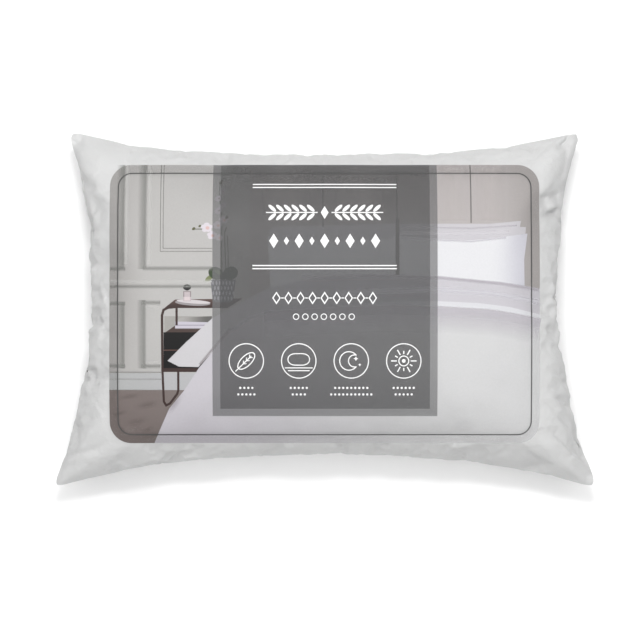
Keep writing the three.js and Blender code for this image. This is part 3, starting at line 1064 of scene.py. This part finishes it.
def table_zones():
    """The printed side table and what stands on it."""
    brown = flat_ink(*BROWN, 0.95)
    pages = flat_ink(206, 201, 213)
    leg = [(-192, -4), (-203, -5), (-209, -8), (-211, -15), (-210.5, -87)]
    foot = [(-210.5, -87), (-209, -127), (-206, -132), (-201, -129.5), (-191.5, -117)]
    foot += [(-190, -112), (-190, -87)]
    under_table = graded((176, 173, 170), (96, 94, 92), (-190, 0), (-150, 0))
    table_top = graded((96, 76, 72), BROWN, (0, 7), (0, -4), 0.95)
    return [
        (box(-208, -38, -148, -16), flat_ink(168, 166, 162)),
        ([(-208, -38), (-193, -27.5), (-146, -27), (-146, -38)], flat_ink(74, 58, 54, 0.95)),
        (box(-194, -32, -146, -23), pages),
        (box(-194, -28.2, -146, -27.2), flat_ink(150, 146, 156)),
        (box(-194, -32.6, -146, -31.8), flat_ink(120, 112, 112)),
        ([(-194, -23), (-186, -18), (-146, -16), (-146, -24)], under_table),
        (box(-209, -84, -148, -37), flat_ink(16, 14, 15, 0.97)),
        (box(-209, -61, -148, -59.4), flat_ink(88, 62, 56, 0.95)),
        (box(-209, -88.5, -148, -83.5), brown),
        (box(-193.5, -28, -190.5, -4), brown),
        (tube(leg, 3.2), brown),
        (tube(foot, 3.0), brown),
        ([(-208, -5.5), (-194, 5.5), (-106, 7), (-126, -5.5)], table_top),
        (ellipse(-171, 1.2, 23, 3.6, -3), flat_ink(158, 152, 154)),
        (ellipse(-170, 2.8, 22, 2.4, -4), flat_ink(216, 210, 212)),
        (box(-183.4, 8, -173.2, 16.4), flat_ink(150, 138, 141)),
        (box(-182, 9, -174.6, 15.4), flat_ink(200, 188, 191)),
        (box(-183.4, 3.2, -173.2, 9), flat_ink(196, 184, 187)),
        (box(-182, 4.2, -174.6, 9), flat_ink(222, 208, 210)),
        (box(-180, 15.5, -176.6, 19), flat_ink(160, 152, 152)),
        (ellipse(-178.4, 21.4, 5.2, 3.8), flat_ink(22, 22, 24, 0.97)),
        (ellipse(-178.8, 22.6, 1.5, 0.9), flat_ink(150, 150, 152)),
    ]


def plant_zones():
    """The printed orchid in its patterned pot."""
    stem = flat_ink(104, 108, 92)
    blossom = flat_ink(226, 219, 226)
    pink = flat_ink(224, 190, 186)
    pot = [(-148, 31), (-115, 31), (-119, 4), (-123, 2), (-141, 2), (-145, 4)]
    zones = [(pot, flat_ink(112, 112, 118))]
    for row in range(4):
        for column in range(7 - row % 2):
            x = -144.5 + 4.35 * column + 2.2 * (row % 2)
            y = 27 - 6.6 * row
            zones.append((ellipse(x, y, 1.2, 2.7, count=8), flat_ink(198, 197, 205)))
    zones += [
        (tube([(-133, 40), (-134, 70), (-133, 112), (-137, 140), (-136, 160)], 1.3), stem),
        (tube([(-128, 42), (-129, 66), (-130, 92), (-127, 100)], 1.3), stem),
        (tube([(-125, 42), (-125, 64), (-126, 88)], 1.3), stem),
        (tube([(-171, 97), (-160, 97), (-150, 94), (-135, 88)], 1.1), stem),
        (ellipse(-150, 33, 6, 3, 40), flat_ink(120, 128, 84)),
        (ellipse(-141, 39.5, 10, 8, -25), flat_ink(58, 72, 48, 0.95)),
        (ellipse(-122, 39.5, 10, 8.5, 25), flat_ink(52, 66, 46, 0.95)),
        (ellipse(-132, 36, 6, 5), flat_ink(44, 56, 40, 0.95)),
        (ellipse(-138, 41, 6, 2.4, -28), flat_ink(86, 102, 62)),
    ]
    for cx, cy, size in ((-153, 99, 7.5), (-146, 89, 6.5), (-137, 86, 5), (-139, 102, 6), (-131, 109, 6)):
        for k in range(5):
            a = math.radians(90 + 72 * k)
            x, y = cx + 0.55 * size * math.cos(a), cy + 0.5 * size * math.sin(a)
            zones.append((ellipse(x, y, 0.5 * size, 0.36 * size), blossom))
        zones.append((ellipse(cx + 1, cy - 0.5, 0.34 * size, 0.3 * size), pink))
    for cx, cy, size in ((-138, 121, 5), (-132, 128, 4.5), (-138, 137, 4.5), (-133, 146, 4)):
        zones.append((ellipse(cx, cy, size, 0.8 * size, 30), flat_ink(212, 207, 214)))
        zones.append((ellipse(cx + 1, cy, 1.1, 1.3), flat_ink(170, 150, 152)))
    buds = ((-170, 97.5, 2.4), (-162, 101, 1.9), (-135.5, 158, 2.4), (-133, 162, 1.4), (-127, 112, 2.2))
    for cx, cy, size in buds:
        zones.append((ellipse(cx, cy, size, 0.75 * size, 35), flat_ink(92, 92, 62)))
    return zones


def bed_zones():
    """The printed bed: its pillows, the folded top of the duvet and the duvet's broad face."""
    back = flat_ink(206, 203, 208)
    front = graded((233, 233, 236), (212, 211, 220), (215, 0), (262, 0))
    gap = flat_ink(120, 114, 112)
    zones = [
        ([(-72, 96), (-66, 100), (20, 102), (88, 104), (92, 104), (92, 30), (-68, 20)], back),
        ([(-74, 88), (-60, 82), (20, 80), (86, 84), (92, 90), (92, 30), (-70, 15)], flat_ink(228, 228, 231)),
        (box(92, 30, 97, 110), gap),
        ([(97, 104), (215, 104), (255.5, 108), (254, 100), (262, 100), (259, 60), (97, 36)], back),
        ([(97, 88), (150, 84), (190, 82.5), (225, 86), (264, 91.5), (259.5, 58), (260, 18), (97, 30)], front),
    ]
    fold = [(-204, -74), (-180, -50), *DUVET_TOP, *FOLD_LINE[::-1], (-147, -64), (-164, -82), (-189, -81.5)]
    plain = DUVET_EDGE + [(281, -183)] + FOLD_LINE[::-1] + [(-147, -64)]
    light = [(8, -4), (90, 4), (146, 3.5), (200, 1), (240, -4), (281, -14), *FOLD_LINE[:3:-1]]
    zones += [
        (plain, graded((207, 203, 210), (220, 220, 221), (-190, 0), (190, -30), 0.88, 0.42)),
        (fold, graded((211, 209, 212), (207, 204, 210), (-204, 0), (-40, 0))),
        (light, graded((216, 214, 219), (226, 226, 230), (0, 0), (150, 0))),
    ]
    return zones


def draw_shading(soft):
    """The soft shadows of the printed mouldings, folds and cushions."""
    shadow = flat_ink(140, 141, 137, 0.7)
    faint = flat_ink(150, 150, 146, 0.4)
    glow = flat_ink(216, 216, 213, 0.5)
    dark = flat_ink(84, 82, 80, 0.85)
    for x, top, bottom, width, lean in (
        (-237, 182, 45, 13, 0.25),
        (-265.5, 182, 46, 12, 0.2),
        (-264.5, 2, -84, 11, 0.25),
        (-237.5, 5, -84, 13, 0.25),
    ):
        soft.soft_line([(x, top), (x, bottom)], width, shadow, lean)
    for x in (-213.4, -209.8):
        soft.soft_line([(x, 182), (x, 72 if x > -212 else 68)], 1.6, flat_ink(132, 132, 128, 0.8))
    for x in (-228, -258):
        soft.soft_line([(x, 182), (x, 50)], 7, glow)
    for y, x in ((72, -209.8), (68, -213.4)):
        soft.soft_line([(x, y), (-146, y)], 1.6, flat_ink(132, 132, 128, 0.75))
    for y, left, right, width, paint in (
        (46, -236, -146, 7, shadow),
        (45.5, -280, -259, 7, shadow),
        (22.5, -280, -146, 6, shadow),
        (29, -280, -146, 7, glow),
        (1.5, -238, -213, 7, shadow),
        (0.5, -280, -259, 7, shadow),
        (-81, -238, -213, 7, shadow),
        (-81, -280, -259, 7, shadow),
        (-76, -231, -213, 5, glow),
        (-4, -231, -213, 5, glow),
        (-89, -280, -212, 2.6, shadow),
        (-98, -280, -212, 3, faint),
        (-112, -280, -212, 2, faint),
    ):
        soft.soft_line([(left, y), (right, y)], width, paint)
    for x, bottom in ((-2.2, 100), (93.8, 104), (190.3, 105)):
        soft.soft_line([(x, 182), (x, bottom)], 2.2, dark)
    for x, width in ((168, 40), (215, 44), (45, 60), (-50, 60)):
        soft.soft_line([(x, 182), (x, 108)], width, flat_ink(206, 200, 198, 0.4))
    soft.soft_line([(100, 100), (190, 98), (250, 102)], 3, flat_ink(186, 182, 188, 0.5))
    soft.soft_line([(98, 92), (170, 91), (240, 93)], 5, flat_ink(226, 224, 228, 0.6))
    soft.soft_line([(98, 85), (190, 81), (236, 86)], 4, flat_ink(196, 193, 200, 0.6))
    soft.soft_line([(-30, 34), (60, 36), (146, 34), (230, 26), (279, 18)], 6, flat_ink(182, 177, 184, 0.65))
    below_fold = [(x, y - 17) for x, y in FOLD_LINE[3:-1]] + [(279, -36)]
    soft.soft_line(below_fold, 36, flat_ink(188, 183, 191, 0.7), 0.08)
    soft.soft_line([(20, 14), (146, 19), (215, 14), (279, 3)], 9, flat_ink(222, 221, 227, 0.6))
    soft.soft_line([(-162, -79), (-148, -62), (-122, -32)], 5, flat_ink(148, 140, 142, 0.7))
    soft.soft_line([(-120, -35), (-96, -18), (-60, -10)], 4, flat_ink(190, 187, 192, 0.7))
    pile = flat_ink(98, 88, 86, 0.26)
    for start, end, width in (
        ((-272, -124), (-236, -117), 8),
        ((-250, -136), (-212, -127), 12),
        ((-262, -158), (-228, -149), 11),
        ((-240, -168), (-222, -160), 8),
        ((-276, -146), (-256, -139), 7),
        ((-184, -114), (-206, -146), 12),
    ):
        soft.soft_line([start, end], width, pile, fading=True)
    soft.soft_line([(-268, -170), (-238, -160)], 12, flat_ink(146, 136, 133, 0.5), fading=True)


def draw_lines(art):
    """The white line art: rules, ornaments and four plain pictograms."""
    for y in (155.5, 151.5, 49.5, 45.5):
        art.line([(-93.5, y), (93.5, y)], 1.5)
    draw_sprig(art)
    for k in range(-4, 5):
        tall = 9.5 if k % 2 == 0 else 5.5
        diamond = [(16.5 * k, 81.5 - tall), (16.5 * k + 0.62 * tall, 81.5)]
        diamond += [(16.5 * k, 81.5 + tall), (16.5 * k - 0.62 * tall, 81.5)]
        art.fill(diamond)
    for k in range(-4, 5):
        diamond = [(15.6 * k, 0.5), (15.6 * k + 4.6, 7.5), (15.6 * k, 14.5), (15.6 * k - 4.6, 7.5)]
        art.line(diamond, 1.5, closed=True)
        if k < 4:
            art.line([(15.6 * k + 6, 7.5), (15.6 * k + 9.6, 7.5)], 1.3)
    for k in range(-3, 4):
        art.line(disc(12 * k - 1, -16.7, 3.6, 20), 1.1, closed=True)
    for centre, rows in ((-101.5, (4, 5)), (-33.5, (5, 4)), (34.5, (9, 11)), (102.5, (6, 5))):
        art.line(disc(centre, -74, 22.3, 64), 1.3, closed=True)
        for y, count in zip((-109, -117.5), rows, strict=True):
            for k in range(count):
                art.fill(disc(centre + 5.2 * (k - (count - 1) / 2), y, 1.5, 10))
    draw_leaf(art, -101.5, -74)
    draw_cushion(art, -33.5, -74)
    draw_moon(art, 34.5, -74)
    draw_sun(art, 102.5, -74)


def draw_sprig(art):
    """Two leafy sprigs that meet at a small diamond."""
    art.fill([(0, 110), (5, 118.5), (0, 127), (-5, 118.5)])
    for side in (-1, 1):
        art.line([(side * 9, 118.5), (side * 40, 118.5), (side * 76, 118.5)], 1.4)
        for k in range(6):
            x = side * (18 + 10 * k)
            for up in (-1, 1):
                art.fill(ellipse(x, 118.5 + up * 5.6, 6.4, 2.3, side * up * 42, 16))


def draw_leaf(art, x, y):
    """A leaf that points up to the right, with its midrib and veins."""
    blade = []
    for k in range(24):
        c, s = 14 * math.cos(math.pi * k / 12), 6.5 * math.sin(math.pi * k / 12)
        blade.append((x + c * 0.72 - s * 0.7, y + c * 0.7 + s * 0.72))
    art.line(blade, 1.3, closed=True)
    art.line([(x - 14, y - 13.6), (x + 6.5, y + 6.3)], 1.3)
    for k in (-4, 0, 4):
        art.line([(x + k, y + k), (x + k + 0.5, y + k + 4.4)], 1.0)
        art.line([(x + k, y + k), (x + k + 4.4, y + k + 0.5)], 1.0)


def draw_cushion(art, x, y):
    """A plump cushion over two rules."""
    outline = []
    for k in range(48):
        a = 2 * math.pi * k / 48
        c, s = math.cos(a), math.sin(a)
        outline.append((x + 14 * math.copysign(abs(c) ** 0.5, c) * (1 - 0.1 * abs(s) ** 3), y + 2 + 7.5 * s))
    art.line(outline, 1.3, closed=True)
    art.line([(x - 18, y - 9), (x + 18, y - 9)], 1.3)
    art.line([(x - 14, y - 12.6), (x + 14, y - 12.6)], 1.3)


def draw_moon(art, x, y):
    """A crescent with two stars inside it."""
    crescent = []
    for cx, radius, open_half, count in ((x - 3, 12, 0.7, 36), (x + 4.2, 7.8, 1.35, 24)):
        angles = np.linspace(open_half, 2 * math.pi - open_half, count)
        arc = [(cx + radius * math.cos(a), y + radius * math.sin(a)) for a in angles]
        crescent += arc[::-1] if crescent else arc
    art.line(crescent, 1.3, closed=True)
    for cx, cy, size in ((6, 3, 3.2), (11, -5, 2.2)):
        star = []
        for k in range(8):
            reach = size if k % 2 == 0 else 0.3 * math.sqrt(2) * size
            a = math.pi / 2 - k * math.pi / 4
            star.append((x + cx + reach * math.cos(a), y + cy + reach * math.sin(a)))
        art.fill(star)


def draw_sun(art, x, y):
    """A ringed dot with twelve rays."""
    art.line(disc(x, y, 6.4, 32), 1.3, closed=True)
    art.fill(disc(x, y, 2.4, 14))
    for k in range(12):
        a = math.pi * k / 6
        c, s = math.cos(a), math.sin(a)
        reach = 16.5 if k % 2 == 0 else 13
        art.line([(x + 9 * c, y + 9 * s), (x + reach * c, y + reach * s)], 1.5)


def make_film(height):
    """The loose clear film with its print: a picture, two grey panels, a keyline and line art."""
    inks = printed_ink()
    outline = rounded_box(FILM_X, FILM_Y, CORNER)
    picture = Inking(height, 0)
    picture.picture(outline, [*room_zones(), *table_zones(), *plant_zones(), *bed_zones()], FILM_CELL / MM)
    film = picture.piece("printed_film_sheet", inks)
    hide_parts("printed_film")

    soft = Inking(height, INK_STEP, SHADE_STEP)
    draw_shading(soft)
    soft.ring(
        rounded_box(FILM_X, FILM_Y, CORNER, 30),
        rounded_box(*KEYLINE, 30),
        graded((90, 87, 85), (130, 130, 130), (120, 60), (240, -60), 0.14, 0.04),
    )
    shading = soft.piece("printed_shading", inks)

    panels = Inking(height, 4 * INK_STEP)
    panels.fill(box(-145.5, -146, 146.5, FILM_Y), flat_ink(120, 120, 121, 0.68), 5.0)
    outer = panels.piece("printed_outer_panel", inks)
    panels = Inking(height, 5 * INK_STEP)
    panels.fill(
        box(-135.4, -136.3, 136.7, FILM_Y),
        graded((46, 46, 47), (66, 66, 66), (0, 40), (0, 180), 0.42),
        5.0,
    )
    inner = panels.piece("printed_inner_panel", inks)

    keyline = Inking(height, 6 * INK_STEP)
    keyline.line(rounded_box(*KEYLINE, 12), 1.4, closed=True)
    edge = keyline.piece("printed_keyline", plain_ink("keyline_ink", 74))
    art = Inking(height, 7 * INK_STEP)
    draw_lines(art)
    lines = art.piece("printed_line_art", plain_ink("white_ink", 226))


def thread_mesh(name, paths, radius, sides=6):
    """Round threads that follow the paths, with closed ends."""
    points, faces = [], []
    for path in paths:
        p = np.array(path, float)
        way = np.gradient(p, axis=0)
        way /= np.linalg.norm(way, axis=1)[:, None]
        across = np.cross(way, [0, 0, 1.0])
        lost = np.linalg.norm(across, axis=1) < 1e-6
        across[lost] = [1, 0, 0]
        across /= np.linalg.norm(across, axis=1)[:, None]
        up = np.cross(across, way)
        start = len(points)
        for k in range(len(p)):
            for n in range(sides):
                a = 2 * math.pi * n / sides
                points.append(p[k] + radius * (math.cos(a) * across[k] + math.sin(a) * up[k]))
        for k in range(len(p) - 1):
            for n in range(sides):
                low = start + k * sides
                m = (n + 1) % sides
                faces.append((low + n, low + m, low + sides + m, low + sides + n))
        last = start + (len(p) - 1) * sides
        faces.append(tuple(start + n for n in range(sides))[::-1])
        faces.append(tuple(last + n for n in range(sides)))
    return mesh_object(name, points, faces)


def make_overlock(front, back, u, v):
    """The overlock thread that zigzags over the edge of the turned-in allowances."""
    edge = rim_of(at_level(front, back, u, v, ALLOWANCE + 0.8 * MM, 0.5))
    heel = rim_of(at_level(front, back, u, v, ALLOWANCE - 4 * MM, 0.5))
    clear = ALLOWANCE_GAP + OVERLOCK_RADIUS + 0.15 * MM
    path = []
    for k in range(0, len(edge) - 3, OVERLOCK_PITCH):
        for side, place, height in ((0, heel, clear), (1, edge, 0), (2, heel, -clear), (3, edge, 0)):
            path.append(place[k + side % OVERLOCK_PITCH] + np.array([0, 0, height]))
    thread = thread_mesh("overlock_thread", [path], OVERLOCK_RADIUS)
    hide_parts("overlock_seam_thread")
    dress(thread, "pillow", "sewing_thread", twisted_thread("overlock_yarn"))


def make_closing(front, back, u, v):
    """The closing topstitch beside the left seam, as it shows on both faces."""
    paths = []
    column = STITCH_INSET / (CLOTH[0] / 2) / (u[0, 1] - u[0, 0])
    i, s = int(column), column - int(column)
    for grid, side in ((front, 1), (back, -1)):
        line = grid[:, i] * (1 - s) + grid[:, i + 1] * s
        walk = v[:, 0]
        for start in np.arange(CLOSING[0], CLOSING[1], STITCH_PITCH / (CLOTH[1] / 2)):
            at = start + np.array([0.0, 0.15, 0.5, 0.85, 1.0]) * STITCH / (CLOTH[1] / 2)
            stitch = np.stack([np.interp(at, walk, line[:, k]) for k in range(3)], axis=1)
            lift = np.array([-0.3, 0.12, 0.26, 0.12, -0.3]) * MM * side
            stitch[:, 2] += lift
            stitch[:, 0] -= np.abs(lift)
            paths.append(stitch)
    thread = thread_mesh("closing_topstitch", paths, STITCH_RADIUS)
    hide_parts("closing_seam_thread")
    dress(thread, "pillow", "sewing_thread", twisted_thread("topstitch_yarn"))


def make_label(front):
    """The blank satin care label, folded in two and caught in the right-hand seam."""
    rim = front[:, -1]
    near = rim[np.abs(rim[:, 1]) < LABEL_HIGH[1]]
    seam_x, seam_z = near[:, 0].max(), near[:, 2].mean()
    reach = LABEL_HIGH[0] - RIBBON - seam_x
    drop = seam_z - LABEL_LOW[2] - RIBBON
    profile = [(-0.6, 0.0), (0.25, 0.005), (0.6, 0.04), (0.8, 0.2), (0.9, 0.5), (0.98, 0.8), (1.0, 0.97)]
    profile += [(0.93, 0.993), (0.82, 1.0), (0.72, 0.993), (0.64, 0.97), (0.6, 0.8), (0.56, 0.5), (0.45, 0.2)]
    profile += [(0.28, 0.06), (-0.1, 0.025), (-0.6, 0.02)]
    fine = refine([(a * reach * 1000, b * drop * 1000) for a, b in profile], 1.5, False)
    outline = np.array(fine) / 1000
    across = np.linspace(LABEL_LOW[1], LABEL_HIGH[1], 17)
    hang = np.clip(outline[:, 1:] / drop, 0, 1)
    wave = 0.5 * MM * np.sin((across[None] - LABEL_LOW[1]) * 95) * hang
    x = seam_x + outline[:, :1] - 0.5 * MM * hang + wave
    y = np.broadcast_to(across, x.shape)
    z = seam_z - np.broadcast_to(outline[:, 1:], x.shape) + 0.4 * MM * np.sin(across * 60 + 1) * hang
    grid = np.stack([x, y, z], axis=-1)
    index = np.arange(x.size).reshape(x.shape)
    ribbon = mesh_object("care_label_ribbon", grid.reshape(-1, 3), quads(index))
    solid = ribbon.modifiers.new("Solid", "SOLIDIFY")
    solid.thickness = RIBBON
    solid.offset = 0
    apply_modifiers(ribbon)
    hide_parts("care_label")
    dress(ribbon, "label", "label_satin", label_satin())


# ---------------------------------------------------------------- the studio

SKY_AT_HORIZON = 0.02
SKY_OVERHEAD = 2.32
SKY_SIDE_FALL = 0.7
SOFTBOX_WATTS = 30
SOFTBOX_SIZE = (0.6, 0.4)
SOFTBOX_AT = Vector((0.0, 0.80, 2.4))
CAMERA_DISTANCE = 6.0
FRAME_WIDTH = 0.845
SENSOR_WIDTH = 36
AIM = Vector((-0.006, -0.014, 0.080))


def make_stage():
    bpy.ops.mesh.primitive_plane_add(size=30)
    floor = bpy.context.object
    floor.name = "floor"
    material, tree, shader = new_material("pale_floor")
    tune(shader, Base_Color=(0.97, 0.97, 0.97, 1), Roughness=1.0, Specular_IOR_Level=0.0)
    floor.data.materials.append(material)

    world = bpy.data.worlds.new("studio")
    world.use_nodes = True
    sky = world.node_tree
    place = sky.nodes.new("ShaderNodeTexCoord")
    split = sky.nodes.new("ShaderNodeSeparateXYZ")
    brightness = node(sky, "ShaderNodeMapRange")
    brightness.interpolation_type = "SMOOTHSTEP"
    tune(brightness, To_Min=SKY_AT_HORIZON, To_Max=SKY_OVERHEAD)
    sideways = node(sky, "ShaderNodeMath", Operation="ABSOLUTE")
    lowered = node(sky, "ShaderNodeMath", Operation="MULTIPLY_ADD")
    lowered.inputs[1].default_value = -SKY_SIDE_FALL
    sky.links.new(place.outputs["Generated"], split.inputs[0])
    sky.links.new(split.outputs["X"], sideways.inputs[0])
    sky.links.new(sideways.outputs[0], lowered.inputs[0])
    sky.links.new(split.outputs["Z"], lowered.inputs[2])
    sky.links.new(lowered.outputs[0], brightness.inputs["Value"])
    sky.links.new(brightness.outputs["Result"], sky.nodes["Background"].inputs["Strength"])
    sky.nodes["Background"].inputs["Color"].default_value = (1, 1, 1, 1)
    bpy.context.scene.world = world

    lamp = bpy.data.lights.new("softbox", "AREA")
    lamp.shape = "RECTANGLE"
    lamp.size, lamp.size_y = SOFTBOX_SIZE
    lamp.energy = SOFTBOX_WATTS
    softbox = bpy.data.objects.new("softbox", lamp)
    softbox.location = SOFTBOX_AT
    softbox.rotation_euler = (-SOFTBOX_AT).to_track_quat("-Z", "Y").to_euler()
    bpy.context.scene.collection.objects.link(softbox)


def make_camera():
    data = bpy.data.cameras.new("camera")
    data.sensor_width = SENSOR_WIDTH
    data.lens = SENSOR_WIDTH * CAMERA_DISTANCE / FRAME_WIDTH
    camera = bpy.data.objects.new("camera", data)
    camera.location = AIM + Vector((0, 0, CAMERA_DISTANCE))
    bpy.context.scene.collection.objects.link(camera)
    bpy.context.scene.camera = camera
    bpy.context.scene.view_settings.view_transform = "Standard"


make_camera()
make_stage()
front, back, u, v = casing_shape()
make_batts(front, back, u, v)
make_casing(front, back, u, v)
make_overlock(front, back, u, v)
make_closing(front, back, u, v)
make_label(front)
make_film(height_of(front))
